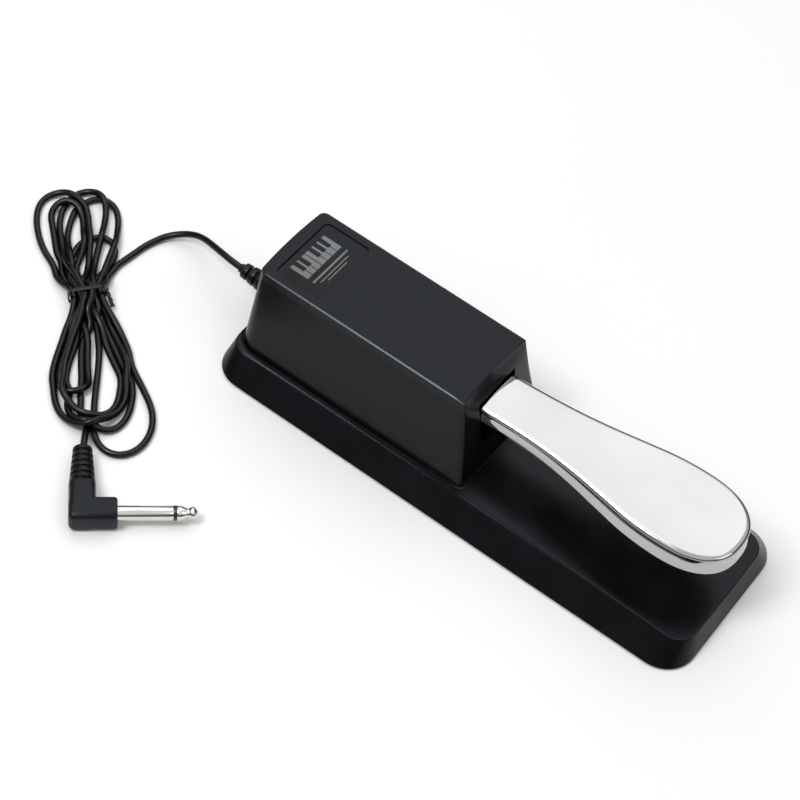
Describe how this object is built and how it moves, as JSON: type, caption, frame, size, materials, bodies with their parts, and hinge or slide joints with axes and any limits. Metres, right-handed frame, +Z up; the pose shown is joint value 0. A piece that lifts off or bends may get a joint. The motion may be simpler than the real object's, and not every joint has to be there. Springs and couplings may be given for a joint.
{
  "type": "sustain pedal",
  "caption": "Piano-style foot pedal: chrome lever in a moulded housing on a long weighted base, with a tied cord and a right-angle jack plug.",
  "frame": {"origin": "on the floor under the middle of the base", "axes": "+X across the base, +Y along it from the toe of the pedal to the cord end, +Z up"},
  "size_m": [0.1832, 0.3514, 0.055],
  "materials": {
    "shell_abs": "satin textured",
    "rubber": "matt",
    "felt": "soft matt",
    "plate_steel": "zinc plated, satin",
    "bracket_steel": "zinc plated",
    "screw_steel": "bright zinc",
    "clip_steel": "phosphated spring steel",
    "spring_steel": "drawn spring wire",
    "chrome": "mirror polished",
    "nylon": "natural, semi matt",
    "switch_plastic": "semi matt",
    "plunger_red": "semi matt",
    "contact_brass": "bright",
    "board_green": "solder mask gloss",
    "wire_red": "smooth insulation",
    "slider_white": "semi matt",
    "gland_pvc": "satin flexible",
    "cord_pvc": "satin flexible",
    "tie_plastic": "satin",
    "plug_pvc": "satin flexible",
    "nickel": "bright nickel",
    "insulator": "smooth"
  },
  "bodies": {
    "base": {"top_shell": "shell_abs", "base_plate": "plate_steel", "rubber_mat": "rubber", "shell_screws": "screw_steel", "pivot_bracket": "bracket_steel", "bracket_screws": "screw_steel", "pivot_axle": "screw_steel", "axle_clips": "clip_steel", "spring_cup": "nylon", "up_stop": "felt", "down_stop": "rubber", "switch_body": "switch_plastic", "switch_terminals": "contact_brass", "switch_screws": "screw_steel", "switch_bracket": "bracket_steel", "switch_bracket_screws": "screw_steel", "circuit_board": "board_green", "board_spacers": "bracket_steel", "board_screws": "screw_steel", "polarity_switch_body": "switch_plastic", "cable_gland": "gland_pvc", "cable_clamp": "nylon", "clamp_screw": "screw_steel", "inner_cable": "cord_pvc", "switch_wires": "wire_red", "return_spring": "spring_steel", "cord_from_gland": "cord_pvc", "cord_hank": "cord_pvc", "cord_to_plug": "cord_pvc", "twist_tie": "tie_plastic", "plug_grip": "plug_pvc", "plug_sleeve": "nickel", "plug_insulator": "insulator", "plug_tip": "nickel"},
    "pedal": {"pedal_plate": "chrome", "lever_arm": "bracket_steel", "pedal_rivets": "screw_steel", "pivot_bushes": "nylon", "spring_guide": "nylon", "contact_pad": "nylon"},
    "switch_lever": {"switch_lever": "bracket_steel"},
    "switch_plunger": {"switch_plunger": "plunger_red"},
    "polarity_slider": {"polarity_slider": "slider_white"}
  },
  "joints": [
    {"name": "pedal_press", "type": "hinge", "parent": "base", "child": "pedal", "pos_m": [0, 0.072, 0.03], "axis": [1, 0, 0], "range_deg": [0, 7], "stiffness_Nm_per_rad": 7.7, "springref_deg": -7.79, "deforming": ["return_spring"]},
    {"name": "switch_lever_swing", "type": "hinge", "parent": "base", "child": "switch_lever", "pos_m": [0, 0.041, 0.0312], "axis": [1, 0, 0], "range_deg": [-9.3, 0]},
    {"name": "plunger_slide", "type": "slide", "parent": "base", "child": "switch_plunger", "axis": [0, 0, -1], "range_m": [0, 0.0009]},
    {"name": "polarity_slide", "type": "slide", "parent": "base", "child": "polarity_slider", "axis": [1, 0, 0], "range_m": [0, 0.003]}
  ],
  "couplings": [
    {"joint": "switch_lever_swing", "follows": "pedal_press", "ratio": -1.3077},
    {"joint": "plunger_slide", "follows": "pedal_press", "m_per_rad": 0.00654}
  ]
}
